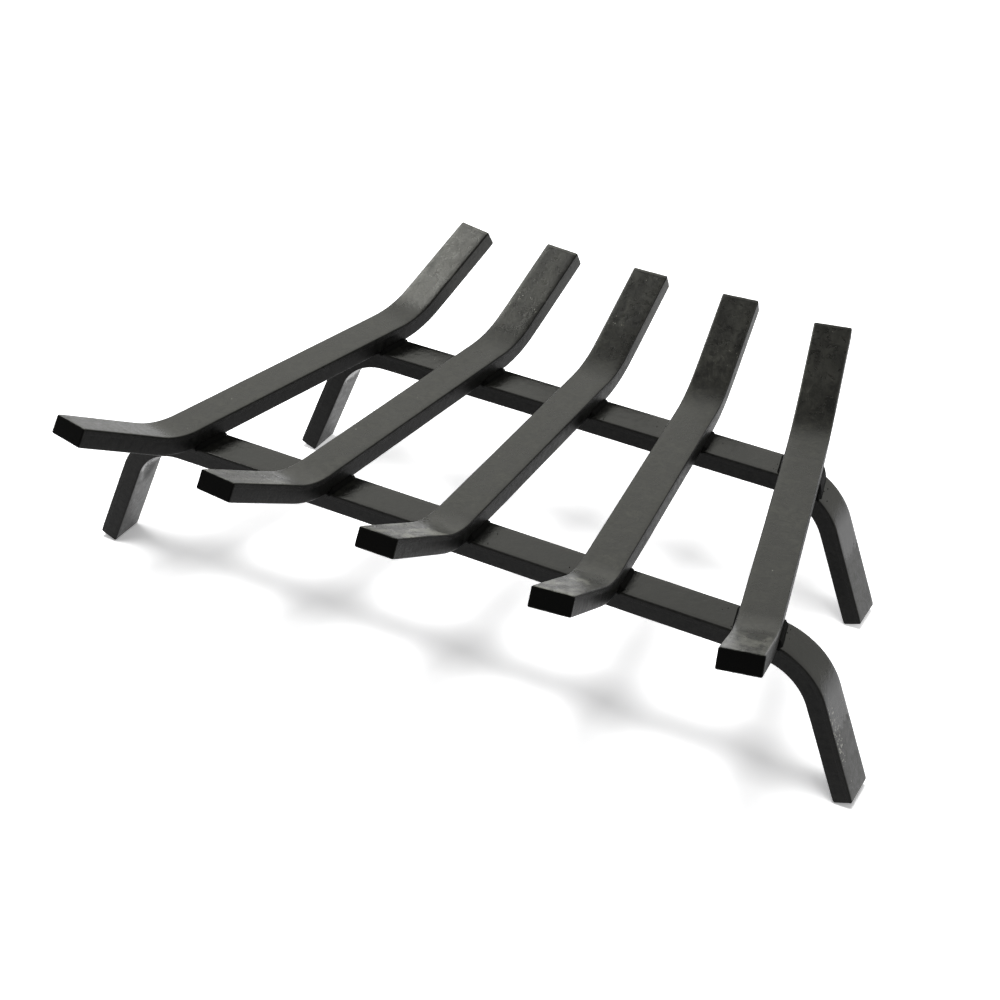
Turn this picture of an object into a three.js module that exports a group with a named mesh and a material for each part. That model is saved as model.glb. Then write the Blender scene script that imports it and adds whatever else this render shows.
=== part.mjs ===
// Log grate for a fireplace: five bent log bars welded across two bars that are bent into legs.
// Millimetres. +X is to the right, +Y to the back of the fireplace and +Z up. The origin is on the
// hearth, under the middle of the grate.

import * as THREE from 'three';

const { degToRad } = THREE.MathUtils;

// ---------------------------------------------------------------------------------------------
// Driving dimensions
// ---------------------------------------------------------------------------------------------

// Stock: every bar is cut from hot-rolled flat bar, one inch by half an inch, and lies on its flat.
const barWidth = 25.4;
const barThickness = 12.7;
const barEdgeRadius = 1.2; // rolled long edges; the sawn ends stay sharp

// Log bars: flat in the middle, with both ends bent up alike so that logs don't roll off.
const logBarCount = 5;
const logBarPitch = 88; // between centre lines, half way from front to back
const logBarFan = degToRad(6.5); // each bar is turned this much from its neighbour, wide at the front
const logBarBendRadius = 63; // inside the bend, on the bar's top
const logBarBendAngle = degToRad(29);
const logBarEnd = 67; // straight end beyond each bend
const logBarFlatPastRail = 10.5; // the flat runs this far past each rail's centre line
const logBedHeight = 110.5; // the bars' flat tops above the hearth

// Leg rails: each is one bar, bent down at both ends into legs that lean outwards.
const railSpacing = 165; // between the two rails' centre lines
const railSetForward = 3; // the pair of rails sits this far forward of the log bars' middle
const railBendRadius = 35; // inside the bend
const legSplay = degToRad(21.4); // from upright
const frontRailPastOuterBar = 4; // flat top past the outermost log bar's centre line
const rearRailPastOuterBar = -12; // less than nothing: the rear rail's bend starts under that bar

// Fillet welds, one along each side of a log bar where it crosses a rail.
const weldLeg = 4; // height up the log bar's side, and width out over the rail
const weldBulge = 0.6; // where the convex face's control point lies, as a share of the leg
const weldOverrun = 1.2; // each bead runs past both sides of the rail by this much
const weldPuddles = 6; // ripples that the welder's hand leaves along one bead
const weldRipple = 0.045; // how much the bead swells and narrows at each of them
const weldStartSize = 0.6; // size of a bead's two ends, as a share of its full size
const weldClearance = 0.3; // to the log bar's side, and to the rail where it curves away

// Facets.
const edgeArcDivisions = 2; // each rounded edge gets twice as many flats
const logBarBendSteps = 10;
const railBendSteps = 14;
const weldFaceDivisions = 5;

// ---------------------------------------------------------------------------------------------
// Sizes that follow from them
// ---------------------------------------------------------------------------------------------

const logBarFlat = railSpacing + 2 * logBarFlatPastRail;
const railTopHeight = logBedHeight - barThickness;
const legBend = Math.PI / 2 - legSplay; // from level to the leg's slope
const railOuterRadius = railBendRadius + barThickness;

// ---------------------------------------------------------------------------------------------
// Finish
// ---------------------------------------------------------------------------------------------

const satinBlackPaint = new THREE.MeshStandardMaterial({ color: '#4b4c47', roughness: 0.5, metalness: 0.15 });
const paintedWeldMetal = new THREE.MeshStandardMaterial({ color: '#2b2c29', roughness: 0.6, metalness: 0.15 });

// ---------------------------------------------------------------------------------------------
// Bent bars
// ---------------------------------------------------------------------------------------------

/** The stock's section: a rectangle whose four long edges were rounded by the rolling mill. */
function barSection() {
  const right = barWidth / 2;
  const top = barThickness / 2;
  const arcX = right - barEdgeRadius;
  const arcY = top - barEdgeRadius;
  const section = new THREE.Shape();
  section.absarc(arcX, arcY, barEdgeRadius, 0, Math.PI / 2);
  section.absarc(-arcX, arcY, barEdgeRadius, Math.PI / 2, Math.PI);
  section.absarc(-arcX, -arcY, barEdgeRadius, Math.PI, 1.5 * Math.PI);
  section.absarc(arcX, -arcY, barEdgeRadius, 1.5 * Math.PI, 2 * Math.PI);
  return section;
}

/**
 * Centre line of a bar that is flat in the middle and bent alike at both ends, as a list of places
 * along the bar. A positive angle bends the ends up, a negative one bends them down.
 */
function bentStations({ flatLength, bendRadius, bendAngle, endLength, bendSteps }) {
  const half = [];
  for (let step = 0; step <= bendSteps; step += 1) {
    const angle = (bendAngle * step) / bendSteps;
    half.push({
      along: flatLength / 2 + bendRadius * Math.sin(Math.abs(angle)),
      rise: Math.sign(bendAngle) * bendRadius * (1 - Math.cos(angle)),
      angle,
    });
  }
  const bendEnd = half.at(-1);
  half.push({
    along: bendEnd.along + endLength * Math.cos(bendAngle),
    rise: bendEnd.rise + endLength * Math.sin(bendAngle),
    angle: bendAngle,
  });
  const otherHalf = half.map(({ along, rise, angle }) => ({ along: -along, rise, angle: -angle }));
  return [...otherHalf.reverse(), ...half];
}

/** A curve through those stations, so that a sweep has facets in its bends and none in its straights. */
class BentCentreLine extends THREE.Curve {
  constructor(stations, direction) {
    super();
    this.stations = stations;
    this.direction = direction;
  }

  station(share) {
    return this.stations[Math.round(share * (this.stations.length - 1))];
  }

  getPointAt(share) {
    const { along, rise } = this.station(share);
    return this.direction.clone().multiplyScalar(along).setZ(rise);
  }

  getTangentAt(share) {
    const { angle } = this.station(share);
    return this.direction.clone().multiplyScalar(Math.cos(angle)).setZ(Math.sin(angle));
  }
}

/** One length of stock, swept along its bent centre line. Its length runs along the given direction. */
function bentBar(direction, bends) {
  const stations = bentStations(bends);
  return new THREE.ExtrudeGeometry(barSection(), {
    extrudePath: new BentCentreLine(stations, direction),
    steps: stations.length - 1,
    curveSegments: edgeArcDivisions,
  });
}

// ---------------------------------------------------------------------------------------------
// Log bars
// ---------------------------------------------------------------------------------------------

/** Where one log bar lies in plan: its middle is on the X axis and it is turned about that point. */
const logBarPlaces = Array.from({ length: logBarCount }, (_, index) => {
  const fromMiddle = index - (logBarCount - 1) / 2;
  return { number: index + 1, x: fromMiddle * logBarPitch, turn: fromMiddle * logBarFan };
});

/** X of a line beside or along a log bar, at the given distance from the front-to-back middle. */
function logBarX({ x, turn }, y, sideways = 0) {
  return x + sideways / Math.cos(turn) - y * Math.tan(turn);
}

function makeLogBars() {
  const group = new THREE.Group();
  const geometry = bentBar(new THREE.Vector3(0, 1, 0), {
    flatLength: logBarFlat,
    bendRadius: logBarBendRadius + barThickness / 2,
    bendAngle: logBarBendAngle,
    endLength: logBarEnd,
    bendSteps: logBarBendSteps,
  });
  for (const place of logBarPlaces) {
    const bar = new THREE.Mesh(geometry, satinBlackPaint);
    bar.name = `log_bar_${place.number}`;
    bar.position.set(place.x, 0, logBedHeight - barThickness / 2);
    bar.rotation.z = place.turn;
    group.add(bar);
  }
  return group;
}

// ---------------------------------------------------------------------------------------------
// Leg rails
// ---------------------------------------------------------------------------------------------

/** The two rails' places. Each flat top is as long as the outermost log bars need at that depth. */
const outerBar = logBarPlaces.at(-1);
const rails = [
  { name: 'front', y: -railSpacing / 2 - railSetForward, pastOuterBar: frontRailPastOuterBar },
  { name: 'rear', y: railSpacing / 2 - railSetForward, pastOuterBar: rearRailPastOuterBar },
].map((rail) => ({ ...rail, flatLength: 2 * (logBarX(outerBar, rail.y) + rail.pastOuterBar) }));

/** Straight part of a leg, from the bend to the foot, whose lowest edge touches the hearth. */
function legLength() {
  const bendTop = railTopHeight - railOuterRadius;
  const innerEdgeAtBend = bendTop + railBendRadius * Math.cos(legBend);
  return innerEdgeAtBend / Math.cos(legSplay);
}

function makeLegRails() {
  const group = new THREE.Group();
  for (const rail of rails) {
    const geometry = bentBar(new THREE.Vector3(1, 0, 0), {
      flatLength: rail.flatLength,
      bendRadius: railBendRadius + barThickness / 2,
      bendAngle: -legBend,
      endLength: legLength(),
      bendSteps: railBendSteps,
    });
    const bar = new THREE.Mesh(geometry, satinBlackPaint);
    bar.name = `${rail.name}_leg_rail`;
    bar.position.set(0, rail.y, railTopHeight - barThickness / 2);
    group.add(bar);
  }
  return group;
}

/** How far a rail's top has dropped below its flat at this X, because of the bend into the leg. */
function railDrop(rail, x) {
  const pastFlat = Math.max(0, Math.abs(x) - rail.flatLength / 2);
  return railOuterRadius - Math.sqrt(railOuterRadius ** 2 - pastFlat ** 2);
}

// ---------------------------------------------------------------------------------------------
// Welds
// ---------------------------------------------------------------------------------------------

/** Fillet section: square to the log bar's side and the rail's top, with a convex face. */
function weldSection() {
  const section = new THREE.Shape();
  section.moveTo(0, 0);
  section.lineTo(weldLeg, 0);
  section.quadraticCurveTo(weldLeg * weldBulge, weldLeg * weldBulge, 0, weldLeg);
  return section;
}

/** Size of a bead at a step along it: small at both ends, swelling at each puddle of the weld. */
function weldSizeAt(step, steps) {
  if (step === 0 || step === steps) return weldStartSize;
  return 1 + (step % 2 === 0 ? -weldRipple : weldRipple);
}

/**
 * One bead, lying along its own Y with the log bar at its negative X. It follows the rail's top, also
 * where that curves down under an outermost bar, so the gap there is filled from the side.
 */
function weldBead(rail, barTurn, x, turn) {
  const length = barWidth / Math.cos(barTurn) + 2 * weldOverrun;
  const steps = 2 * weldPuddles;
  const bead = new THREE.ExtrudeGeometry(weldSection(), {
    depth: length,
    steps,
    bevelEnabled: false,
    curveSegments: weldFaceDivisions,
  });
  bead.translate(0, 0, -length / 2);
  bead.rotateX(Math.PI / 2);

  const sidewaysReach = weldLeg + weldClearance + (length / 2) * Math.abs(Math.sin(turn));
  const seatGap = railDrop(rail, Math.abs(x) + sidewaysReach) > 0 ? weldClearance : 0;
  const points = bead.getAttribute('position');
  for (let index = 0; index < points.count; index += 1) {
    const along = points.getY(index);
    const size = weldSizeAt(Math.round((along / length + 0.5) * steps), steps);
    const outward = weldClearance + points.getX(index) * size;
    const upShare = points.getZ(index) / weldLeg;
    const drop = railDrop(rail, x + outward * Math.cos(turn) - along * Math.sin(turn));
    const height = weldLeg * size * upShare + (seatGap - drop) * (1 - upShare);
    points.setXYZ(index, outward, along, height);
  }
  return bead;
}

function makeWelds() {
  const group = new THREE.Group();
  const sides = [
    { name: 'left', sign: -1, halfTurn: Math.PI },
    { name: 'right', sign: 1, halfTurn: 0 },
  ];
  for (const rail of rails) {
    for (const place of logBarPlaces) {
      for (const side of sides) {
        const x = logBarX(place, rail.y, (side.sign * barWidth) / 2);
        const turn = place.turn + side.halfTurn;
        const bead = new THREE.Mesh(weldBead(rail, place.turn, x, turn), paintedWeldMetal);
        bead.name = `weld_${rail.name}_${place.number}_${side.name}`;
        bead.position.set(x, rail.y, railTopHeight);
        bead.rotation.z = turn;
        group.add(bead);
      }
    }
  }
  return group;
}

// ---------------------------------------------------------------------------------------------
// The grate
// ---------------------------------------------------------------------------------------------

const logGrate = new THREE.Group();
logGrate.add(makeLogBars(), makeLegRails(), makeWelds());

export default logGrate;
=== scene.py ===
"""Fireplace log grate: five bent flat bars welded across two bent rails, painted satin black."""

import math
import random

import bpy
from mathutils import Matrix, Vector, noise


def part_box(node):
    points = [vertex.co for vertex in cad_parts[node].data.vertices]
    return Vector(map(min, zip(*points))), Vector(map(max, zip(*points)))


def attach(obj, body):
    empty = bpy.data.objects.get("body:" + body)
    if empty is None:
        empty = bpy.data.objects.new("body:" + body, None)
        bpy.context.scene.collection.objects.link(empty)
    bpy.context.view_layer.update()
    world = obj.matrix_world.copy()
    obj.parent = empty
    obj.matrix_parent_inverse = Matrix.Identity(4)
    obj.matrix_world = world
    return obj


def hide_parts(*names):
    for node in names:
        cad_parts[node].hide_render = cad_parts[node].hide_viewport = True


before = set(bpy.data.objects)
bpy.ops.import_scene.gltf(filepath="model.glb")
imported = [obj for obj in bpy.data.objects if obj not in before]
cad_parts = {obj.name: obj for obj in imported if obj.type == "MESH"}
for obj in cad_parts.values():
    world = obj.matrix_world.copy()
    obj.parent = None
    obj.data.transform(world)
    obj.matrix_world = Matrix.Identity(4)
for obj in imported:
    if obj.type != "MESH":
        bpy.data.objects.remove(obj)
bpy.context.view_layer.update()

# ------------------------------------------------------------------------------------------------
# Camera
# The grate is seen from its front right and from above, as one stands looking down at a hearth.
# A long lens from about 1.4 metres keeps the bars' fan nearly free of perspective.
# ------------------------------------------------------------------------------------------------

camera_place = Vector((0.4801, -0.9838, 0.8069))
camera_turn = math.radians(26.81)  # to the left of straight at the back
camera_down = math.radians(34.11)  # below level
camera_roll = math.radians(2.33)

camera_data = bpy.data.cameras.new("camera")
camera_data.sensor_width = 36.0
camera_data.lens = 73.67
camera = bpy.data.objects.new("camera", camera_data)
camera.matrix_world = (
    Matrix.Translation(camera_place)
    @ Matrix.Rotation(camera_turn, 4, "Z")
    @ Matrix.Rotation(math.pi / 2 - camera_down, 4, "X")
    @ Matrix.Rotation(camera_roll, 4, "Z")
)
bpy.context.scene.collection.objects.link(camera)
bpy.context.scene.camera = camera
bpy.context.scene.view_settings.view_transform = "Standard"

# ------------------------------------------------------------------------------------------------
# Floor and light
# A sheet of matt white paper in a white tent: soft light comes from all round. A soft box right
# overhead gives the faint shadow under the grate, and one high on the left the sheen on that side.
# ------------------------------------------------------------------------------------------------

MM = 0.001


def linear(srgb_hex):
    """The linear colour of an sRGB hex value, with alpha 1."""
    values = [int(srgb_hex[i : i + 2], 16) / 255 for i in (1, 3, 5)]
    return [v / 12.92 if v <= 0.04045 else ((v + 0.055) / 1.055) ** 2.4 for v in values] + [1.0]


def add_node(tree, kind, inputs=None, **settings):
    """Adds a node, sets its properties, and sets or links each input, by name or by number."""
    made = tree.nodes.new(kind)
    for name, value in settings.items():
        setattr(made, name, value)
    for socket, value in (inputs or {}).items():
        if isinstance(value, bpy.types.NodeSocket):
            tree.links.new(value, made.inputs[socket])
        else:
            made.inputs[socket].default_value = value
    return made


def start_material(name):
    """A new material of that name and its node tree, which is still empty."""
    material = bpy.data.materials.new(name)
    material.use_nodes = True
    material.node_tree.nodes.clear()
    return material, material.node_tree


def seen_or_mirrored(tree):
    """1 where the eye sees a surface, straight or in a reflection, and 0 where it only lights."""
    ray = add_node(tree, "ShaderNodeLightPath").outputs
    seen = add_node(
        tree,
        "ShaderNodeMath",
        {0: ray["Is Camera Ray"], 1: ray["Is Glossy Ray"]},
        operation="MAXIMUM",
    )
    seen = add_node(
        tree,
        "ShaderNodeMath",
        {0: seen.outputs[0], 1: ray["Is Transmission Ray"]},
        operation="MAXIMUM",
    )
    return seen.outputs[0]


paper_white = "#f0f0f8"  # a cool white, which evens out the tent's warm one
paper_exposed = 1.7  # the picture is exposed so that only the deepest shadows aren't pure white
paper_glow_in_front = 0.24  # added where the paper is seen, so that its shadows stay faint
paper_glow_at_back = 0.46
paper_glow_mirrored = 0.46  # added where the grate mirrors the paper
glow_front_edge = -30 * MM  # the glow changes over to that of the back between these
glow_back_edge = 60 * MM
white_starts = 0.5  # metres from the grate's middle, where the paper fades to pure white
white_reached = 1.6
floor_half = 4.0
floor_below_feet = 0.2 * MM

floor_mesh = bpy.data.meshes.new("floor")
floor_mesh.from_pydata(
    [
        (x * floor_half, y * floor_half, -floor_below_feet)
        for x, y in ((-1, -1), (1, -1), (1, 1), (-1, 1))
    ],
    [],
    [(0, 1, 2, 3)],
)
floor = bpy.data.objects.new("floor", floor_mesh)
bpy.context.scene.collection.objects.link(floor)

paper, tree = start_material("matt_white_paper")
seen_straight = add_node(tree, "ShaderNodeLightPath").outputs["Is Camera Ray"]
place = add_node(tree, "ShaderNodeTexCoord").outputs["Object"]
to_the_back = add_node(tree, "ShaderNodeSeparateXYZ", {0: place}).outputs["Y"]
glow_near = add_node(
    tree,
    "ShaderNodeMapRange",
    {
        "Value": to_the_back,
        "From Min": glow_front_edge,
        "From Max": glow_back_edge,
        "To Min": paper_glow_in_front,
        "To Max": paper_glow_at_back,
    },
    interpolation_type="SMOOTHSTEP",
)
from_grate = add_node(
    tree,
    "ShaderNodeVectorMath",
    {0: place},
    operation="LENGTH",
)
glow_far_out = add_node(
    tree,
    "ShaderNodeMapRange",
    {
        "Value": from_grate.outputs["Value"],
        "From Min": white_starts,
        "From Max": white_reached,
    },
)
glow_seen = add_node(
    tree,
    "ShaderNodeMath",
    {0: glow_near.outputs["Result"], 1: glow_far_out.outputs["Result"]},
    operation="ADD",
)
glow_mirrored = add_node(
    tree,
    "ShaderNodeMath",
    {0: seen_or_mirrored(tree), 1: paper_glow_mirrored},
    operation="MULTIPLY",
)
lift = add_node(
    tree,
    "ShaderNodeMix",
    {"Factor": seen_straight, "A": glow_mirrored.outputs[0], "B": glow_seen.outputs[0]},
    data_type="FLOAT",
)
paper_colour = linear(paper_white)
exposed_colour = [value * paper_exposed for value in paper_colour[:3]] + [1.0]
sheet_colour = add_node(
    tree,
    "ShaderNodeMix",
    {"Factor": seen_straight, "A": paper_colour, "B": exposed_colour},
    data_type="RGBA",
)
sheet = add_node(tree, "ShaderNodeBsdfDiffuse", {"Color": sheet_colour.outputs["Result"]})
glow = add_node(tree, "ShaderNodeEmission", {"Strength": lift.outputs["Result"]})
both = add_node(tree, "ShaderNodeAddShader", {0: sheet.outputs[0], 1: glow.outputs[0]})
add_node(tree, "ShaderNodeOutputMaterial", {"Surface": both.outputs[0]})
floor_mesh.materials.append(paper)

tent_tint = (1.0, 1.0, 0.93)
tent_light = 0.3  # what it lights the grate and the floor with
tent_in_picture = 1.1  # where it is seen straight, which makes its tint pure white too
tent_at_horizon = 1.0  # what the paint mirrors of it
tent_half_way = 1.13
zenith_share = 0.2  # the tent's top is the darkest part of it
right_share = 0.8  # its right half is farther away
left_foot_share = 0.5  # and its left wall stands on something grey

# Each pair says between which values the tent changes there. They are the height (Z) or the
# sideways reach (X) of a direction of length 1.
half_way_up = (0.0, 0.4)
zenith = (0.79, 0.93)
right_half = (-0.37, -0.27)
left_wall = (-0.5, -0.4)
left_foot_height = (0.2, 0.45)

world = bpy.data.worlds.new("white_tent")
bpy.context.scene.world = world
world.use_nodes = True
tree = world.node_tree
tree.nodes.clear()
direction = add_node(tree, "ShaderNodeTexCoord")
parts = add_node(tree, "ShaderNodeSeparateXYZ", {0: direction.outputs["Generated"]}).outputs
tent_parts = []
for value, (starts, reached), before, after in (
    (parts["Z"], half_way_up, tent_at_horizon, tent_half_way),
    (parts["Z"], zenith, 1.0, zenith_share),
    (parts["X"], right_half, 1.0, right_share),
    (parts["X"], left_wall, left_foot_share, 1.0),
    (parts["Z"], left_foot_height, 0.0, 1.0),
):
    tent_part = add_node(
        tree,
        "ShaderNodeMapRange",
        {
            "Value": value,
            "From Min": starts,
            "From Max": reached,
            "To Min": before,
            "To Max": after,
        },
        interpolation_type="SMOOTHSTEP",
    )
    tent_parts.append(tent_part.outputs["Result"])
walls, top, right, left, above_foot = tent_parts
left_foot = add_node(
    tree,
    "ShaderNodeMix",
    {"Factor": above_foot, "A": left, "B": 1.0},
    data_type="FLOAT",
)
tent_mirrored = walls
for share in (top, right, left_foot.outputs["Result"]):
    tent_mirrored = add_node(
        tree,
        "ShaderNodeMath",
        {0: tent_mirrored, 1: share},
        operation="MULTIPLY",
    ).outputs[0]
strength = add_node(
    tree,
    "ShaderNodeMix",
    {"Factor": seen_or_mirrored(tree), "A": tent_light, "B": tent_mirrored},
    data_type="FLOAT",
)
seen_straight = add_node(tree, "ShaderNodeLightPath").outputs["Is Camera Ray"]
strength = add_node(
    tree,
    "ShaderNodeMix",
    {"Factor": seen_straight, "A": strength.outputs["Result"], "B": tent_in_picture},
    data_type="FLOAT",
)
background = add_node(
    tree,
    "ShaderNodeBackground",
    {"Color": (*tent_tint, 1.0), "Strength": strength.outputs["Result"]},
)
add_node(tree, "ShaderNodeOutputWorld", {"Surface": background.outputs[0]})

soft_boxes = [
    {
        "name": "overhead_soft_box",
        "place": (-0.06, -0.2, 3.0),
        "side": 1.26,
        "watts": 68.0,
        "for_sheen": False,
    },
    {
        "name": "left_soft_box",
        "place": (-1.6, 0.3, 1.5),
        "side": 0.9,
        "watts": 11.0,
        "for_sheen": True,
    },
]
for box in soft_boxes:
    lamp_data = bpy.data.lights.new(box["name"], "AREA")
    lamp_data.size = box["side"]
    lamp_data.energy = box["watts"]
    lamp_data.color = tent_tint
    lamp = bpy.data.objects.new(box["name"], lamp_data)
    lamp.location = box["place"]
    aim = Vector((0, 0, 0.1)) - lamp.location
    lamp.rotation_euler = aim.to_track_quat("-Z", "Y").to_euler()
    lamp.visible_glossy = box["for_sheen"]
    lamp.visible_diffuse = not box["for_sheen"]
    bpy.context.scene.collection.objects.link(lamp)

# ------------------------------------------------------------------------------------------------
# Log bars
# Five lengths of hot-rolled flat bar, one inch by half an inch, cut square and bent up at both
# ends on a jig. They lie across the rails, fanned out to the front, and are sprayed with satin
# black stove paint over the mill scale.
# ------------------------------------------------------------------------------------------------

bar_width = 25.4 * MM
bar_thickness = 12.7 * MM
rolled_edge = 1.2 * MM  # radius that the rolls leave on the long edges
cut_edge = 0.7 * MM  # radius that the grinder leaves round a cut end
edge_divisions = 5
sprayed_divisions = 2  # of a rolled edge, beside the wide face, that get the full coat
cut_edge_divisions = 3
station_spacing = 2.5 * MM
end_stations = [1.0 * MM, 1.6 * MM, 2.6 * MM, 4.0 * MM]  # closer ones, from the cut end
roll_over = 0.35 * MM  # the cut drags the bar's faces down by this much at the end
roll_over_reach = 1.8 * MM
unevenness = 0.06 * MM  # of hot-rolled faces
waves_per_metre = 28.0
fine_waves_per_metre = 95.0
fine_wave_share = 0.4  # of the height of the long ones
burr_depth = 0.25 * MM  # unevenness that the grinder leaves round a cut
burrs_per_metre = 420.0
bend_swell = 0.018  # a bend widens the side that it squeezes by this share
swell_reach = 4  # stations over which the swelling sets in
rear_scale_kept = 20 * MM  # how much farther past a bend the mill scale reaches than in front
pattern_shift = 0.31  # metres from bar to bar, so that no two show the same stretch of a pattern

# Places of a bar's three paints in its list of materials.
full_coat, shaded_coat, cut_coat = range(3)


def bar_outline(swell):
    """
    The section's points, anticlockwise from the right side, as (across, up, normal, wide). The
    last says that the stretch after the point is painted as the bar's top and underside are.
    """
    half_width, half_thickness = bar_width / 2, bar_thickness / 2
    corners = [(1, 1, 0.0), (-1, 1, 90.0), (-1, -1, 180.0), (1, -1, 270.0)]
    flat_divisions = [8, 4, 8, 4]
    arcs = []
    for across_sign, up_sign, start in corners:
        arc = []
        for step in range(edge_divisions + 1):
            angle = math.radians(start + 90.0 * step / edge_divisions)
            normal = (math.cos(angle), math.sin(angle))
            across = across_sign * (half_width - rolled_edge) + rolled_edge * normal[0]
            up = up_sign * (half_thickness - rolled_edge) + rolled_edge * normal[1]
            arc.append((across, up, normal))
        arcs.append(arc)
    points = []
    for index, arc in enumerate(arcs):
        wide = index % 2 == 0
        for step, point in enumerate(arc[:-1]):
            from_wide = edge_divisions - 1 - step if wide else step
            points.append((*point, from_wide < sprayed_divisions))
        last = arc[-1]
        after = arcs[(index + 1) % 4][0]
        for step in range(flat_divisions[index]):
            share = step / flat_divisions[index]
            across = last[0] + (after[0] - last[0]) * share
            up = last[1] + (after[1] - last[1]) * share
            points.append((across, up, last[2], wide))
    return [
        (across * (1 + swell * up / half_thickness), up, normal, wide)
        for across, up, normal, wide in points
    ]


def bar_stations(flat, bend_radius, bend_angle, end):
    """
    Places along a bar that is flat in the middle and bent alike at both ends, on its centre line:
    (along, rise, slope, distance from the middle, bend), close enough together for a smooth bend.
    """
    bend_length = bend_radius * abs(bend_angle)
    sign = math.copysign(1.0, bend_angle)
    total = flat / 2 + bend_length + end
    marks = {0.0, flat / 2, flat / 2 + bend_length, total}
    count = math.ceil(total / station_spacing)
    marks |= {total * i / count for i in range(count)}
    marks = {mark for mark in marks if mark < total - end_stations[-1]}
    marks |= {total - from_end for from_end in end_stations} | {total}
    half = []
    for distance in sorted(marks):
        if half and distance - half[-1][3] < 0.2 * station_spacing:
            continue
        past_flat = min(max(distance - flat / 2, 0.0), bend_length)
        straight = max(distance - flat / 2 - bend_length, 0.0)
        slope = past_flat / bend_radius
        along = min(distance, flat / 2) + bend_radius * math.sin(slope) + straight * math.cos(slope)
        rise = bend_radius * (1 - math.cos(slope)) + straight * math.sin(slope)
        in_bend = 1.0 if 0.0 < past_flat < bend_length else 0.0
        half.append((along, sign * rise, sign * slope, distance, sign * in_bend))
    other = [(-a, r, -s, -d, b) for a, r, s, d, b in reversed(half[1:])]
    return other + half


def smoothed(values, reach):
    """Each value, averaged with its neighbours within reach."""
    near = [values[max(0, i - reach) : i + reach + 1] for i in range(len(values))]
    return [sum(some) / len(some) for some in near]


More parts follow.
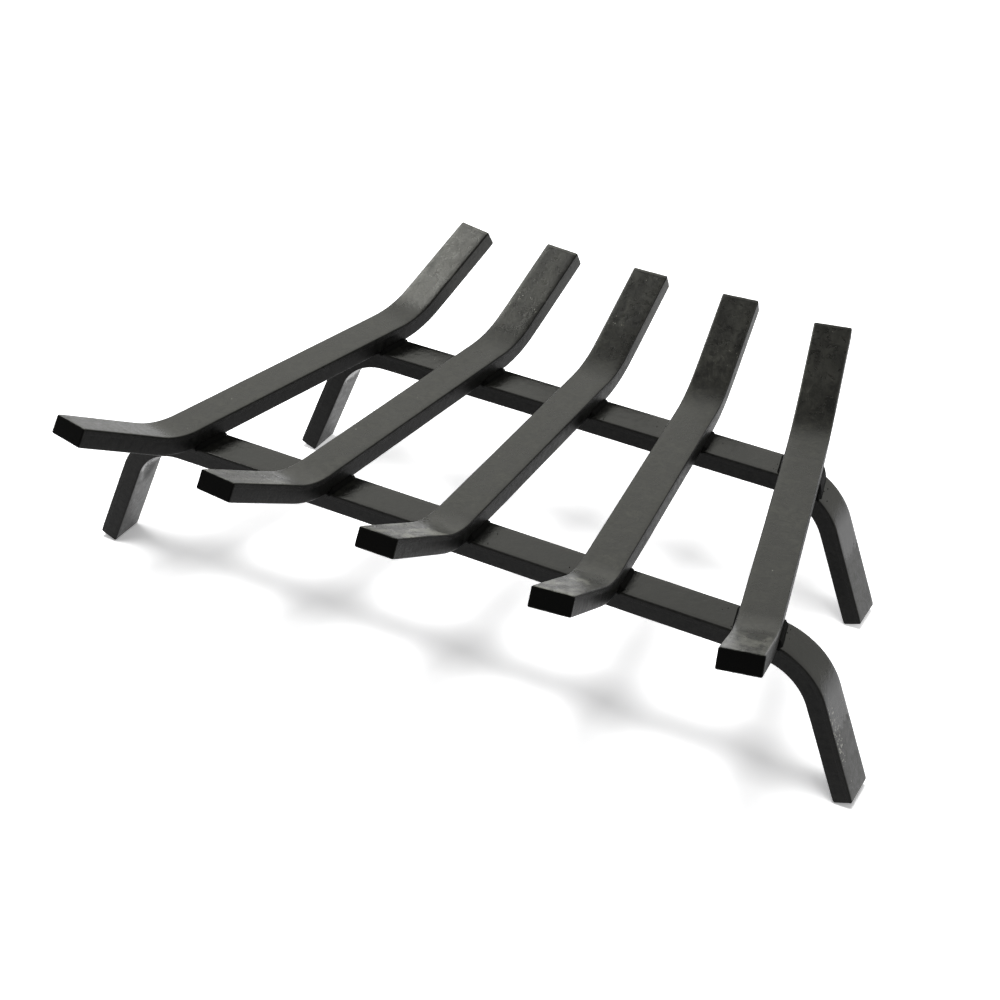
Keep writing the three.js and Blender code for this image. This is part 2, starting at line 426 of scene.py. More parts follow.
def make_bar(
    name, bends, middle, turn, number, dust_and_sheen_front=0.0, streaks_and_sheen_rear=0.0, pitted=None, jig_mark=None
):
    """
    A painted bar as a mesh: swept along its stations, with rolled edges and ground cut ends. Its
    attributes tell the paint where it is: on_stock runs round and along the bar, past_bend is the
    distance beyond a bend, from_end that to the cut, and side_on is 1 where the bar faces sideways.
    The others are shares of dust with painted sheen on the front end, of streaks on the rear end,
    which also set a painted reflection on its sides, and of pits.
    """
    stations = bar_stations(**bends)
    swell = smoothed([bend_swell * bend for *_, bend in stations], swell_reach)
    direction = Matrix.Rotation(turn, 3, "Z") @ Vector((0, 1, 0))
    sideways = Matrix.Rotation(turn, 3, "Z") @ Vector((1, 0, 0))
    total = stations[-1][3]
    bend_end = total - bends["end"]
    vertices, faces, paint_numbers = [], [], []
    on_stock = []
    values_of = {
        "past_bend": [],
        "from_end": [],
        "side_on": [],
        "dust_and_sheen": [],
        "streaks_and_sheen": [],
        "pitted": [],
    }

    def off_spot(spot, distance, across):
        """How far off an oval spot's middle a place is, squared: 1 on the spot's rim."""
        off_along = (distance - spot["distance"]) / spot["half_length"]
        off_across = (across - spot["across"]) / spot["half_width"]
        return off_along**2 + off_across**2

    def add_ring(station, outline, inset, shift):
        """The points of one section, with their attributes. A cut end's are inset and shifted."""
        along, rise, slope, distance, _ = station
        distance += shift
        tangent = direction * math.cos(slope) + Vector((0, 0, math.sin(slope)))
        upward = Vector((0, 0, math.cos(slope))) - direction * math.sin(slope)
        centre = middle + direction * along + Vector((0, 0, rise)) + tangent * shift
        from_end = total - abs(distance)
        dragged = roll_over * math.exp(-from_end / roll_over_reach)
        around = 0.0
        for index, (across, up, normal, _) in enumerate(outline):
            if index:
                before = outline[index - 1]
                around += math.hypot(across - before[0], up - before[1])
            outward = sideways * normal[0] + upward * normal[1]
            place = centre + sideways * across + upward * up
            wave = noise.noise(place * waves_per_metre)
            wave += fine_wave_share * noise.noise(place * fine_waves_per_metre)
            sunk = inset + dragged * abs(normal[1])
            if from_end < end_stations[0]:
                sunk += burr_depth * (1 + noise.noise(place * burrs_per_metre))
            on_top = normal[1] > 0.9
            underneath = normal[1] < -0.9
            if jig_mark and underneath:
                off_mark = off_spot(jig_mark, distance, across)
                sunk += jig_mark["depth"] * math.exp(-(off_mark**3))
            pit_share = 0.0
            if pitted and on_top:
                pit_share = math.exp(-(off_spot(pitted, distance, across) ** 2))
            # The waves rarely rise past 1, and then by little, so the face stays inside the part.
            vertices.append(place + outward * (unevenness * (wave - 1.0) - sunk))
            on_stock.append((around, distance, number * pattern_shift))
            at_rear = distance > 0
            kept = rear_scale_kept if at_rear else 0.0
            values_of["past_bend"].append(abs(distance) - bend_end - kept)
            values_of["from_end"].append(from_end)
            values_of["side_on"].append(abs(normal[0]))
            values_of["dust_and_sheen"].append(dust_and_sheen_front if distance < 0 else 0.0)
            values_of["streaks_and_sheen"].append(streaks_and_sheen_rear if at_rear else 0.0)
            values_of["pitted"].append(pit_share)

    first, last = stations[0], stations[-1]
    rounding = []
    for step in range(cut_edge_divisions + 1):
        angle = math.pi / 2 * step / cut_edge_divisions
        rounding.append((cut_edge * (1 - math.sin(angle)), cut_edge * (1 - math.cos(angle))))
    sections = [(first, swell[0], inset, shift) for inset, shift in rounding]
    inner = zip(stations[1:-1], swell[1:-1])
    sections += [(station, swollen, 0.0, 0.0) for station, swollen in inner]
    sections += [(last, swell[-1], inset, -shift) for inset, shift in reversed(rounding)]
    for station, swollen, inset, shift in sections:
        outline = bar_outline(swollen)
        add_ring(station, outline, inset, shift)
    count, rings = len(outline), len(sections)
    for row in range(rings - 1):
        # In front the cut's rough coat takes in its rounded edge. Behind, the faces' coats do.
        front_rounding = row < cut_edge_divisions
        for index in range(count):
            after = (index + 1) % count
            faces.append(
                (
                    row * count + index,
                    (row + 1) * count + index,
                    (row + 1) * count + after,
                    row * count + after,
                )
            )
            wide = outline[index][3]
            on_side = full_coat if wide else shaded_coat
            paint_numbers.append(cut_coat if front_rounding else on_side)
    faces.append(tuple(range(count)))
    faces.append(tuple(reversed(range((rings - 1) * count, rings * count))))
    paint_numbers += [cut_coat, cut_coat]
    mesh = bpy.data.meshes.new(name)
    mesh.from_pydata(vertices, [], faces)
    mesh.shade_smooth()
    mesh.set_sharp_from_angle(angle=math.radians(35))
    stock = mesh.attributes.new("on_stock", "FLOAT_VECTOR", "POINT")
    stock.data.foreach_set("vector", [value for point in on_stock for value in point])
    for attribute_name, values in values_of.items():
        attribute = mesh.attributes.new(attribute_name, "FLOAT", "POINT")
        attribute.data.foreach_set("value", values)
    for face, paint_number in zip(mesh.polygons, paint_numbers):
        face.material_index = paint_number
    return bpy.data.objects.new(name, mesh)


# Satin black stove paint, sprayed on the bar's wide faces. It shows the mill scale's faint
# mottling. Past the bends the scale came off in the jig, behind a ragged edge with a few pale
# flecks: the rear ends show dark streaks there, and the front ends have picked up pale dust. The
# dust also stands in for the front ends' bright reflection, as painted sheen.
paint_ior = 1.6
bar_paint, tree = start_material("satin_black_stove_paint")
stock = add_node(tree, "ShaderNodeAttribute", attribute_name="on_stock").outputs["Vector"]
past_bend = add_node(tree, "ShaderNodeAttribute", attribute_name="past_bend").outputs["Fac"]
from_end = add_node(tree, "ShaderNodeAttribute", attribute_name="from_end").outputs["Fac"]
dust_and_sheen = add_node(tree, "ShaderNodeAttribute", attribute_name="dust_and_sheen").outputs["Fac"]
streaks_and_sheen = add_node(tree, "ShaderNodeAttribute", attribute_name="streaks_and_sheen").outputs["Fac"]
pitted = add_node(tree, "ShaderNodeAttribute", attribute_name="pitted").outputs["Fac"]

scale_patch = 14 * MM  # width of a patch of mill scale
scale_grain = 1.3 * MM  # its grain, drawn coarser than the real half millimetre
streak_width = 7 * MM
streak_stretch = 0.3
smear_width = 5 * MM
dust_spacing = 7 * MM
pit_spacing = 1.6 * MM
fleck_reach = 6 * MM  # from the ragged edge
ground_back = 2.4 * MM  # how far the grinder cleaned a rear end's face, up to a dark line
ground_line = 0.4 * MM

patches = add_node(
    tree,
    "ShaderNodeTexNoise",
    {"Vector": stock, "Scale": 1 / scale_patch, "Detail": 5.0, "Roughness": 0.6},
).outputs["Fac"]
grain = add_node(
    tree,
    "ShaderNodeTexNoise",
    {"Vector": stock, "Scale": 1 / scale_grain, "Detail": 3.0, "Roughness": 0.6},
).outputs["Fac"]
smears = add_node(
    tree,
    "ShaderNodeTexNoise",
    {"Vector": stock, "Scale": 1 / smear_width, "Detail": 6.0, "Roughness": 0.7, "Distortion": 1.2},
).outputs["Fac"]
drawn_out = add_node(
    tree,
    "ShaderNodeVectorMath",
    {0: stock, 1: (1.0, streak_stretch, 1.0)},
    operation="MULTIPLY",
).outputs[0]
streaks = add_node(
    tree,
    "ShaderNodeTexNoise",
    {
        "Vector": drawn_out,
        "Scale": 1 / streak_width,
        "Detail": 6.0,
        "Roughness": 0.6,
        "Distortion": 0.3,
    },
).outputs["Fac"]

ragged = 24 * MM  # how far the ragged edge wanders
ragged_blur = 1.2 * MM
edge_of_end = add_node(
    tree,
    "ShaderNodeMath",
    {0: smears, 1: ragged, 2: past_bend},
    operation="MULTIPLY_ADD",
).outputs[0]
end_share = add_node(
    tree,
    "ShaderNodeMapRange",
    {
        "Value": edge_of_end,
        "From Min": ragged / 2 - ragged_blur,
        "From Max": ragged / 2 + ragged_blur,
    },
    interpolation_type="SMOOTHSTEP",
).outputs[0]

patch_share = add_node(
    tree,
    "ShaderNodeMapRange",
    {"Value": patches, "From Min": 0.35, "From Max": 0.65},
).outputs[0]
streak_share = add_node(
    tree,
    "ShaderNodeMapRange",
    {"Value": streaks, "From Min": 0.4, "From Max": 0.66},
).outputs[0]
smear_share = add_node(
    tree,
    "ShaderNodeMapRange",
    {"Value": smears, "From Min": 0.38, "From Max": 0.62},
).outputs[0]
mottle_share = add_node(
    tree,
    "ShaderNodeMath",
    {0: patch_share, 1: smear_share},
    operation="MULTIPLY",
).outputs[0]
scaled_colour = add_node(
    tree,
    "ShaderNodeMix",
    {"Factor": mottle_share, "A": linear("#0a0a09"), "B": linear("#2c2c28")},
    data_type="RGBA",
    name="scaled_colour",
).outputs["Result"]
plain_end_colour = add_node(
    tree,
    "ShaderNodeMix",
    {"Factor": mottle_share, "A": linear("#070706"), "B": linear("#242420")},
    data_type="RGBA",
).outputs["Result"]
streaked_colour = add_node(
    tree,
    "ShaderNodeMix",
    {"Factor": streak_share, "A": linear("#030303"), "B": linear("#2b2b28")},
    data_type="RGBA",
).outputs["Result"]
end_colour = add_node(
    tree,
    "ShaderNodeMix",
    {"Factor": streaks_and_sheen, "A": plain_end_colour, "B": streaked_colour},
    data_type="RGBA",
).outputs["Result"]
paint_colour = add_node(
    tree,
    "ShaderNodeMix",
    {"Factor": end_share, "A": scaled_colour, "B": end_colour},
    data_type="RGBA",
).outputs["Result"]
ground = add_node(
    tree,
    "ShaderNodeMath",
    {0: from_end, 1: ground_back},
    operation="LESS_THAN",
).outputs[0]
ground_share = add_node(
    tree,
    "ShaderNodeMath",
    {0: ground, 1: streaks_and_sheen},
    operation="MULTIPLY",
).outputs[0]
ground_colour = add_node(
    tree,
    "ShaderNodeMix",
    {"Factor": ground_share, "A": paint_colour, "B": linear("#3c3c39")},
    data_type="RGBA",
).outputs["Result"]
on_line = add_node(
    tree,
    "ShaderNodeMath",
    {0: from_end, 1: ground_back + ground_line, 2: ground_line},
    operation="COMPARE",
).outputs[0]
line_share = add_node(
    tree,
    "ShaderNodeMath",
    {0: on_line, 1: streaks_and_sheen},
    operation="MULTIPLY",
).outputs[0]
paint_colour = add_node(
    tree,
    "ShaderNodeMix",
    {"Factor": line_share, "A": ground_colour, "B": linear("#020202")},
    data_type="RGBA",
).outputs["Result"]
# Pale dust on the front ends, in patches. It is also painted sheen: a paler colour for the front
# ends' bright reflection.
dust_and_sheen_patch = add_node(
    tree,
    "ShaderNodeMapRange",
    {"Value": streaks, "From Min": 0.47, "From Max": 0.62},
).outputs[0]
dust_and_sheen_share = dust_and_sheen_patch
for share in (end_share, dust_and_sheen):
    dust_and_sheen_share = add_node(
        tree,
        "ShaderNodeMath",
        {0: dust_and_sheen_share, 1: share},
        operation="MULTIPLY",
    ).outputs[0]
dust_and_sheen_colour = add_node(
    tree,
    "ShaderNodeMix",
    {"Factor": dust_and_sheen_share, "A": paint_colour, "B": linear("#7e7e78")},
    data_type="RGBA",
).outputs["Result"]

dust_cells = add_node(
    tree,
    "ShaderNodeTexVoronoi",
    {"Vector": stock, "Scale": 1 / dust_spacing},
)
speck_size = add_node(
    tree,
    "ShaderNodeSeparateColor",
    {0: dust_cells.outputs["Color"]},
).outputs["Red"]
speck_radius = add_node(
    tree,
    "ShaderNodeMapRange",
    {"Value": speck_size, "From Min": 0.78, "From Max": 1.0, "To Min": 0.0, "To Max": 0.07},
).outputs[0]
speck = add_node(
    tree,
    "ShaderNodeMath",
    {0: dust_cells.outputs["Distance"], 1: speck_radius},
    operation="LESS_THAN",
).outputs[0]
pit_cells = add_node(
    tree,
    "ShaderNodeTexVoronoi",
    {"Vector": stock, "Scale": 1 / pit_spacing},
)
pit_size = add_node(
    tree,
    "ShaderNodeSeparateColor",
    {0: pit_cells.outputs["Color"]},
).outputs["Red"]
from_ragged = add_node(
    tree,
    "ShaderNodeMath",
    {0: edge_of_end, 1: ragged / 2, 2: fleck_reach},
    operation="COMPARE",
).outputs[0]
fleck_share = add_node(
    tree,
    "ShaderNodeMapRange",
    {"Value": smears, "From Min": 0.48, "From Max": 0.62, "To Min": 0.0, "To Max": 0.6},
).outputs[0]
flecked = from_ragged
for share in (streaks_and_sheen, fleck_share):
    flecked = add_node(
        tree,
        "ShaderNodeMath",
        {0: flecked, 1: share},
        operation="MULTIPLY",
    ).outputs[0]
pit_share = add_node(tree, "ShaderNodeMath", {0: pitted, 1: flecked}, operation="MAXIMUM").outputs[0]
pit_most = add_node(
    tree,
    "ShaderNodeMapRange",
    {"Value": pit_size, "From Min": 0.1, "From Max": 0.8, "To Min": 0.0, "To Max": 0.62},
).outputs[0]
pit_edge = add_node(
    tree,
    "ShaderNodeMath",
    {0: pit_share, 1: pit_most},
    operation="MULTIPLY",
).outputs[0]
pit = add_node(
    tree,
    "ShaderNodeMath",
    {0: pit_cells.outputs["Distance"], 1: pit_edge},
    operation="LESS_THAN",
).outputs[0]
pale_spot = add_node(tree, "ShaderNodeMath", {0: speck, 1: pit}, operation="MAXIMUM").outputs[0]
final_colour = add_node(
    tree,
    "ShaderNodeMix",
    {"Factor": pale_spot, "A": dust_and_sheen_colour, "B": linear("#80807a")},
    data_type="RGBA",
).outputs["Result"]

flat_roughness = add_node(
    tree,
    "ShaderNodeMapRange",
    {"Value": patches, "From Min": 0.3, "From Max": 0.7, "To Min": 0.24, "To Max": 0.36},
    name="flat_roughness",
).outputs[0]
end_roughness = add_node(
    tree,
    "ShaderNodeMapRange",
    {"Value": smears, "From Min": 0.35, "From Max": 0.65, "To Min": 0.24, "To Max": 0.43},
    name="end_roughness",
).outputs[0]
roughness = add_node(
    tree,
    "ShaderNodeMix",
    {"Factor": end_share, "A": flat_roughness, "B": end_roughness},
    data_type="FLOAT",
).outputs["Result"]
waves = add_node(
    tree,
    "ShaderNodeBump",
    {"Strength": 1.0, "Distance": 0.16 * MM, "Height": smears},
).outputs["Normal"]
bump = add_node(
    tree,
    "ShaderNodeBump",
    {"Strength": 0.12, "Distance": 0.02 * MM, "Height": grain, "Normal": waves},
).outputs["Normal"]
shader = add_node(
    tree,
    "ShaderNodeBsdfPrincipled",
    {"Base Color": final_colour, "Roughness": roughness, "Normal": bump, "IOR": paint_ior},
)
add_node(tree, "ShaderNodeOutputMaterial", {"Surface": shader.outputs[0]})

# The same paint on the bar's narrow sides and rolled edges, given a darker colour and much less
# mirroring than on the wide faces: painted shade, for the shaded floor under the grate that the
# sides mirror. It mirrors little unless it is seen along the bar, so the sides read blacker than
# the top. A pale film on the sides of the rear ends is a painted reflection of the bright floor
# behind the grate.
edge_specular = 0.14
rear_sheen_starts = -30 * MM  # from where the mill scale ends
rear_sheen_full = 12 * MM
edge_paint, tree = start_material("stove_paint_shaded_on_edges")
stock = add_node(tree, "ShaderNodeAttribute", attribute_name="on_stock").outputs["Vector"]
past_bend = add_node(tree, "ShaderNodeAttribute", attribute_name="past_bend").outputs["Fac"]
side_on = add_node(tree, "ShaderNodeAttribute", attribute_name="side_on").outputs["Fac"]
streaks_and_sheen = add_node(tree, "ShaderNodeAttribute", attribute_name="streaks_and_sheen").outputs["Fac"]
patches = add_node(
    tree,
    "ShaderNodeTexNoise",
    {"Vector": stock, "Scale": 1 / smear_width, "Detail": 6.0, "Roughness": 0.7},
).outputs["Fac"]
grain = add_node(
    tree,
    "ShaderNodeTexNoise",
    {"Vector": stock, "Scale": 1 / scale_grain, "Detail": 3.0, "Roughness": 0.6},
).outputs["Fac"]
blotches = add_node(
    tree,
    "ShaderNodeMapRange",
    {"Value": patches, "From Min": 0.38, "From Max": 0.66},
).outputs[0]
# Painted shade: the sides get a darker colour than the wide faces.
edge_colour = add_node(
    tree,
    "ShaderNodeMix",
    {"Factor": blotches, "A": linear("#020202"), "B": linear("#181817")},
    data_type="RGBA",
).outputs["Result"]
# Painted reflection: the sides of the rear ends are made paler where they mirror the bright floor
# behind the grate, in patches, and more on bars with more rear streaks.
rear_sheen_reach = add_node(
    tree,
    "ShaderNodeMapRange",
    {"Value": past_bend, "From Min": rear_sheen_starts, "From Max": rear_sheen_full},
    interpolation_type="SMOOTHSTEP",
).outputs[0]
rear_sheen_share = add_node(
    tree,
    "ShaderNodeMapRange",
    {"Value": side_on, "From Min": 0.95, "From Max": 1.0},
    interpolation_type="SMOOTHSTEP",
).outputs[0]
for share in (rear_sheen_reach, streaks_and_sheen, patches):
    rear_sheen_share = add_node(
        tree,
        "ShaderNodeMath",
        {0: rear_sheen_share, 1: share},
        operation="MULTIPLY",
    ).outputs[0]
edge_colour = add_node(
    tree,
    "ShaderNodeMix",
    {"Factor": rear_sheen_share, "A": edge_colour, "B": linear("#626260")},
    data_type="RGBA",
).outputs["Result"]
edge_roughness = add_node(
    tree,
    "ShaderNodeMapRange",
    {"Value": patches, "From Min": 0.35, "From Max": 0.65, "To Min": 0.32, "To Max": 0.48},
).outputs[0]
edge_waves = add_node(
    tree,
    "ShaderNodeBump",
    {"Strength": 1.0, "Distance": 0.3 * MM, "Height": patches},
).outputs["Normal"]
edge_bump = add_node(
    tree,
    "ShaderNodeBump",
    {"Strength": 0.4, "Distance": 0.06 * MM, "Height": grain, "Normal": edge_waves},
).outputs["Normal"]
shader = add_node(
    tree,
    "ShaderNodeBsdfPrincipled",
    {
        "Base Color": edge_colour,
        "Roughness": edge_roughness,
        "Specular IOR Level": edge_specular,
        "Normal": edge_bump,
    },
)
add_node(tree, "ShaderNodeOutputMaterial", {"Surface": shader.outputs[0]})

# The same paint on a cut end: the saw's marks are too coarse for a thin coat to fill, so it dries
# rough. Its near-black colour and faint mirroring are painted shade, for the dim floor below that
# the front ends mirror, so a cut looks the blackest of all.
saw_mark = 0.9 * MM
wave_at_scale_1 = 0.314  # the wave texture's own spacing in metres
cut_paint, tree = start_material("stove_paint_on_cut_steel")
place = add_node(tree, "ShaderNodeTexCoord").outputs["Object"]
marks = add_node(
    tree,
    "ShaderNodeTexWave",
    {"Vector": place, "Scale": wave_at_scale_1 / saw_mark, "Distortion": 4.0, "Detail": 3.0},
    bands_direction="X",
).outputs["Fac"]
cut_bump = add_node(
    tree,
    "ShaderNodeBump",
    {"Strength": 0.5, "Distance": 0.1 * MM, "Height": marks},
).outputs["Normal"]
# Painted shade: a near-black colour and almost no mirroring.
shader = add_node(
    tree,
    "ShaderNodeBsdfPrincipled",
    {
        "Base Color": linear("#030303"),
        "Roughness": 0.7,
        "Specular IOR Level": 0.05,
        "Normal": cut_bump,
    },
)
add_node(tree, "ShaderNodeOutputMaterial", {"Surface": shader.outputs[0]})

log_bar_bends = {
    "flat": 186 * MM,
    "bend_radius": 69.35 * MM,
    "bend_angle": math.radians(29),
    "end": 67 * MM,
}
log_bar_pitch = 88 * MM
log_bar_fan = math.radians(6.5)
log_bed_height = 110.5 * MM
log_bar_middle = log_bed_height - bar_thickness / 2
# Shares of pale dust and painted sheen on each front end, and of streaks on each rear end, which
# also set how much painted reflection that end's sides get.
dust_and_sheen_on_front_ends = [0.0, 0.35, 0.85, 0.7, 0.4]  # bar 1 to bar 5
streaks_and_sheen_on_rear_ends = [1.0, 1.0, 0.9, 0.5, 0.4]

for number in range(1, 6):
    from_centre = number - 3
    bar = make_bar(
        f"painted_log_bar_{number}",
        log_bar_bends,
        Vector((from_centre * log_bar_pitch, 0, log_bar_middle)),
        from_centre * log_bar_fan,
        number,
        dust_and_sheen_front=dust_and_sheen_on_front_ends[number - 1],
        streaks_and_sheen_rear=streaks_and_sheen_on_rear_ends[number - 1],
    )
    for paint in (bar_paint, edge_paint, cut_paint):
        bar.data.materials.append(paint)
    bpy.context.scene.collection.objects.link(bar)
    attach(bar, "root")
    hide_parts(f"log_bar_{number}")

# ------------------------------------------------------------------------------------------------
# Leg rails
# Two more lengths of the same flat bar, bent down hard at both ends into splayed legs, with feet
# cut square. They have the same paint. The front rail is pitted on its right leg, and the jig has
# left an oval mark inside its left bend.
# ------------------------------------------------------------------------------------------------

# The rails' coat is smoother and deeper: beside each crossing their tops mirror the log bar's side,
# and are all but black there.
rail_paint_ior = 1.53
rail_edge_specular = 0.12
rail_paint = bar_paint.copy()
rail_paint.name = "satin_black_stove_paint_on_rails"
rail_nodes = rail_paint.node_tree.nodes
rail_nodes["Principled BSDF"].inputs["IOR"].default_value = rail_paint_ior
rail_nodes["flat_roughness"].inputs["To Min"].default_value = 0.12
rail_nodes["flat_roughness"].inputs["To Max"].default_value = 0.2
rail_nodes["end_roughness"].inputs["To Min"].default_value = 0.32
rail_nodes["end_roughness"].inputs["To Max"].default_value = 0.5
rail_nodes["scaled_colour"].inputs["A"].default_value = linear("#040404")
rail_nodes["scaled_colour"].inputs["B"].default_value = linear("#141412")
# The rails' narrow sides get the same painted shade, with a little less mirroring.
rail_edge_paint = edge_paint.copy()
rail_edge_paint.name = "stove_paint_shaded_on_rail_edges"
rail_edge_shader = rail_edge_paint.node_tree.nodes["Principled BSDF"]
rail_edge_shader.inputs["Specular IOR Level"].default_value = rail_edge_specular

rail_bend_inside = 35 * MM
rail_bend_radius = rail_bend_inside + bar_thickness / 2
leg_splay = math.radians(21.4)
leg_bend = math.pi / 2 - leg_splay
rail_top = log_bed_height - bar_thickness
leg_end = 67.52 * MM
leg_reach = rail_bend_radius * math.sin(leg_bend) + leg_end * math.sin(leg_splay)
rail_flats = {}

for number, rail_name in enumerate(("front", "rear"), 6):
    low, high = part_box(f"{rail_name}_leg_rail")
    rail_flats[rail_name] = 2 * (high.x - leg_reach - bar_thickness / 2 * math.cos(leg_splay))
    bend_end = rail_flats[rail_name] / 2 + rail_bend_radius * leg_bend
    spots = {}
    if rail_name == "front":
        spots["pitted"] = {
            "distance": bend_end + 20 * MM,
            "half_length": 24 * MM,
            "across": 9 * MM,
            "half_width": 6 * MM,
        }
        spots["jig_mark"] = {
            "distance": -bend_end - 3 * MM,
            "half_length": 9 * MM,
            "across": 1 * MM,
            "half_width": 5 * MM,
            "depth": 1.2 * MM,
        }
    rail = make_bar(
        f"painted_{rail_name}_leg_rail",
        {
            "flat": rail_flats[rail_name],
            "bend_radius": rail_bend_radius,
            "bend_angle": -leg_bend,
            "end": leg_end,
        },
        Vector((0, (low.y + high.y) / 2, rail_top - bar_thickness / 2)),
        -math.pi / 2,
        number,
        **spots,
    )
    for paint in (rail_paint, rail_edge_paint, cut_paint):
        rail.data.materials.append(paint)
    bpy.context.scene.collection.objects.link(rail)
    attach(rail, "root")
    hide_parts(f"{rail_name}_leg_rail")

# ------------------------------------------------------------------------------------------------
# Welds
# A small fillet bead down each side of a log bar where it crosses a rail: two beads to a crossing,
# laid by hand with a wire welder. Each starts and ends in a blob that hangs over the rail's edge,
# with a little spatter round it, and is painted with the bars.
# ------------------------------------------------------------------------------------------------

bead_leg = 3 * MM
bead_radius = 5.2 * MM  # its centre lies inside the corner, so that the face is nearly flat
bead_sunk = 2.2 * MM
front_blob_radius = 1.4 * MM
rear_blob_radius = 1.3 * MM
blob_drop = 0.6 * MM
blob_starts = bar_width / 2 - 3.4 * MM
blob_middle = bar_width / 2 - 0.8 * MM
bead_steps = 60
bead_sides = 28
ripple_spacing = 1.7 * MM
ripple_depth = 0.07 * MM
bead_unevenness = 0.14 * MM
lumps_per_metre = 380.0
last_ring_share = 0.02  # radius of a blob's last ring, as a share of the blob's
spatter_balls = 3
spatter_reach = 9 * MM
spatter_span = 0.85  # share of the bar's width that it falls within
smallest_ball = 0.2 * MM
largest_ball = 0.4 * MM
ball_rows, ball_columns = 5, 8


def rail_drop(x, flat):
    """How far a rail's top has dropped at this X, because of the bend into the leg."""
    outer_radius = rail_bend_radius + bar_thickness / 2
    past_flat = min(max(abs(x) - flat / 2, 0.0), outer_radius)
    return outer_radius - math.sqrt(outer_radius**2 - past_flat**2)


def bead_section(v, length_share, blob_radius):
    """Radius of the bead, and its centre's place out and up from the corner, at v along it."""
    share = min(max((abs(v) / length_share - blob_starts) / (blob_middle - blob_starts), 0.0), 1.0)
    share = share * share * (3 - 2 * share)
    radius = bead_radius + (blob_radius - bead_radius) * share
    past_blob = max(abs(v) / length_share - blob_middle, 0.0) / blob_radius
    radius *= math.sqrt(max(1 - past_blob**2, last_ring_share**2))
    out = -bead_sunk * (1 - share)
    up = -bead_sunk * (1 - share) - blob_drop * share
    return radius, out, up


def add_spatter_ball(vertices, faces, centre, radius):
    """Adds a small ball: a point on top, rings of points, and a point at the bottom."""
    first = len(vertices)
    vertices.append(centre + Vector((0, 0, radius)))
    for row in range(1, ball_rows):
        polar = math.pi * row / ball_rows
        for column in range(ball_columns):
            azimuth = 2 * math.pi * column / ball_columns
            level = Vector((math.cos(azimuth), math.sin(azimuth), 0)) * math.sin(polar)
            vertices.append(centre + (level + Vector((0, 0, math.cos(polar)))) * radius)
    vertices.append(centre - Vector((0, 0, radius)))
    bottom = len(vertices) - 1
    for column in range(ball_columns):
        after = (column + 1) % ball_columns
        faces.append((first, first + 1 + column, first + 1 + after))
        for row in range(ball_rows - 2):
            upper = first + 1 + row * ball_columns
            lower = upper + ball_columns
            faces.append((upper + column, lower + column, lower + after, upper + after))
        lowest = first + 1 + (ball_rows - 2) * ball_columns
        faces.append((lowest + column, bottom, lowest + after))


def make_bead(name, corner, turn, length_share, flat, seed):
    """
    One bead as a mesh, with its spatter. It runs along the corner between a log bar's side and
    the rail's top, and turn is the bar's own, or half a turn more on the bar's left side.
    """
    along = Vector((-math.sin(turn), math.cos(turn), 0))
    outward = Vector((math.cos(turn), math.sin(turn), 0))
    vertices, faces = [], []
    for step in range(bead_steps + 1):
        end_share = -math.cos(math.pi * step / bead_steps)
        at_front = end_share * along.y < 0
        blob_radius = front_blob_radius if at_front else rear_blob_radius
        v = end_share * (blob_middle + blob_radius) * length_share
        radius, out, up = bead_section(v, length_share, blob_radius)
        radius += ripple_depth * abs(math.sin(math.pi * v / ripple_spacing))
        for index in range(bead_sides):
            angle = 2 * math.pi * index / bead_sides
            u = out + radius * math.cos(angle)
            w = up + radius * math.sin(angle)
            place = corner + along * v + outward * u
            drop = rail_drop(place.x, flat)
            height = w - drop * (1 - min(max(w / bead_leg, 0.0), 1.0))
            place.z += height
            bumpy = bead_unevenness * noise.noise(place * lumps_per_metre)
            place += outward * (bumpy * math.cos(angle))
            place.z += bumpy * math.sin(angle)
            vertices.append(place)
    for step in range(bead_steps):
        for index in range(bead_sides):
            after = (index + 1) % bead_sides
            row, next_row = step * bead_sides, (step + 1) * bead_sides
            faces.append((row + index, row + after, next_row + after, next_row + index))
    faces.append(tuple(reversed(range(bead_sides))))
    last_row = bead_steps * bead_sides
    faces.append(tuple(range(last_row, last_row + bead_sides)))

    draw = random.Random(seed)
    for _ in range(spatter_balls):
        radius = draw.uniform(smallest_ball, largest_ball)
        v = draw.uniform(-bar_width / 2, bar_width / 2) * spatter_span
        u = bead_leg + draw.uniform(0.0, 1.0) ** 2 * spatter_reach
        centre = corner + along * v + outward * u
        centre.z -= rail_drop(centre.x, flat)
        add_spatter_ball(vertices, faces, centre, radius)
    mesh = bpy.data.meshes.new(name)
    mesh.from_pydata(vertices, [], faces)
    mesh.shade_smooth()
    return bpy.data.objects.new(name, mesh)


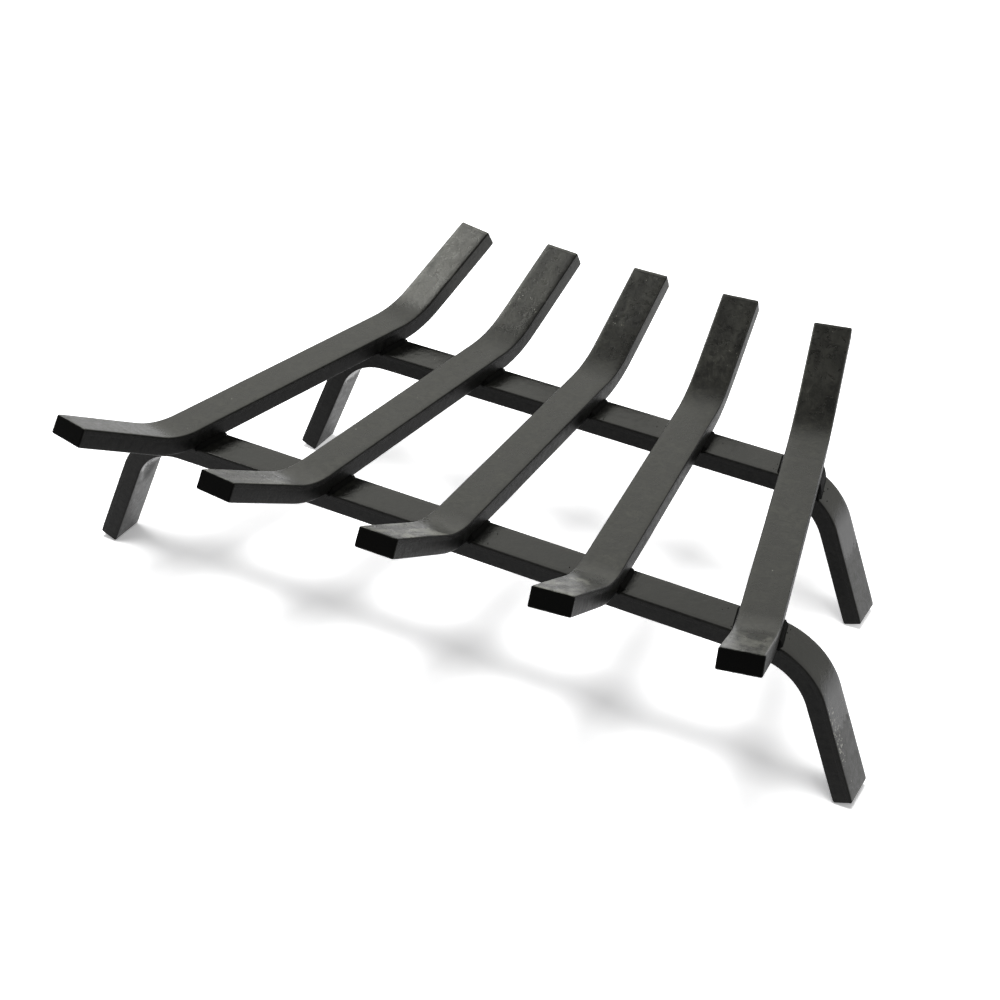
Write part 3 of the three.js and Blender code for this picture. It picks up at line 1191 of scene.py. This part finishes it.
# Stove paint over weld metal: the bead's fine ripples leave it nearly dull. Its near-black colour
# is painted shade, for the shade in the corner between bar and rail, so it reads as a black line
# in the corner.
bead_grain = 0.9 * MM
bead_paint, tree = start_material("stove_paint_over_weld")
place = add_node(tree, "ShaderNodeTexCoord").outputs["Object"]
grain = add_node(
    tree,
    "ShaderNodeTexNoise",
    {"Vector": place, "Scale": 1 / bead_grain, "Detail": 4.0, "Roughness": 0.6},
).outputs["Fac"]
# Painted shade: the corner's shade, as a near-black colour.
bead_shade_colour = add_node(
    tree,
    "ShaderNodeMix",
    {"Factor": grain, "A": linear("#010101"), "B": linear("#060606")},
    data_type="RGBA",
).outputs["Result"]
bead_roughness = add_node(
    tree,
    "ShaderNodeMapRange",
    {"Value": grain, "From Min": 0.3, "From Max": 0.7, "To Min": 0.5, "To Max": 0.7},
).outputs[0]
bead_bump = add_node(
    tree,
    "ShaderNodeBump",
    {"Strength": 0.5, "Distance": 0.08 * MM, "Height": grain},
).outputs["Normal"]
shader = add_node(
    tree,
    "ShaderNodeBsdfPrincipled",
    {
        "Base Color": bead_shade_colour,
        "Roughness": bead_roughness,
        "Specular IOR Level": 0.04,
        "Normal": bead_bump,
    },
)
add_node(tree, "ShaderNodeOutputMaterial", {"Surface": shader.outputs[0]})

for rail_name in ("front", "rear"):
    low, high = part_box(f"{rail_name}_leg_rail")
    rail_y = (low.y + high.y) / 2
    for number in range(1, 6):
        from_centre = number - 3
        turn = from_centre * log_bar_fan
        for side_name, side in (("left", -1), ("right", 1)):
            x = from_centre * log_bar_pitch - rail_y * math.tan(turn)
            x += side * bar_width / 2 / math.cos(turn)
            bead = make_bead(
                f"weld_bead_{rail_name}_{number}_{side_name}",
                Vector((x, rail_y, rail_top)),
                turn + (math.pi if side < 0 else 0.0),
                1 / math.cos(turn),
                rail_flats[rail_name],
                f"{rail_name}{number}{side_name}",
            )
            bead.data.materials.append(bead_paint)
            bpy.context.scene.collection.objects.link(bead)
            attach(bead, "root")
            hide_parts(f"weld_{rail_name}_{number}_{side_name}")
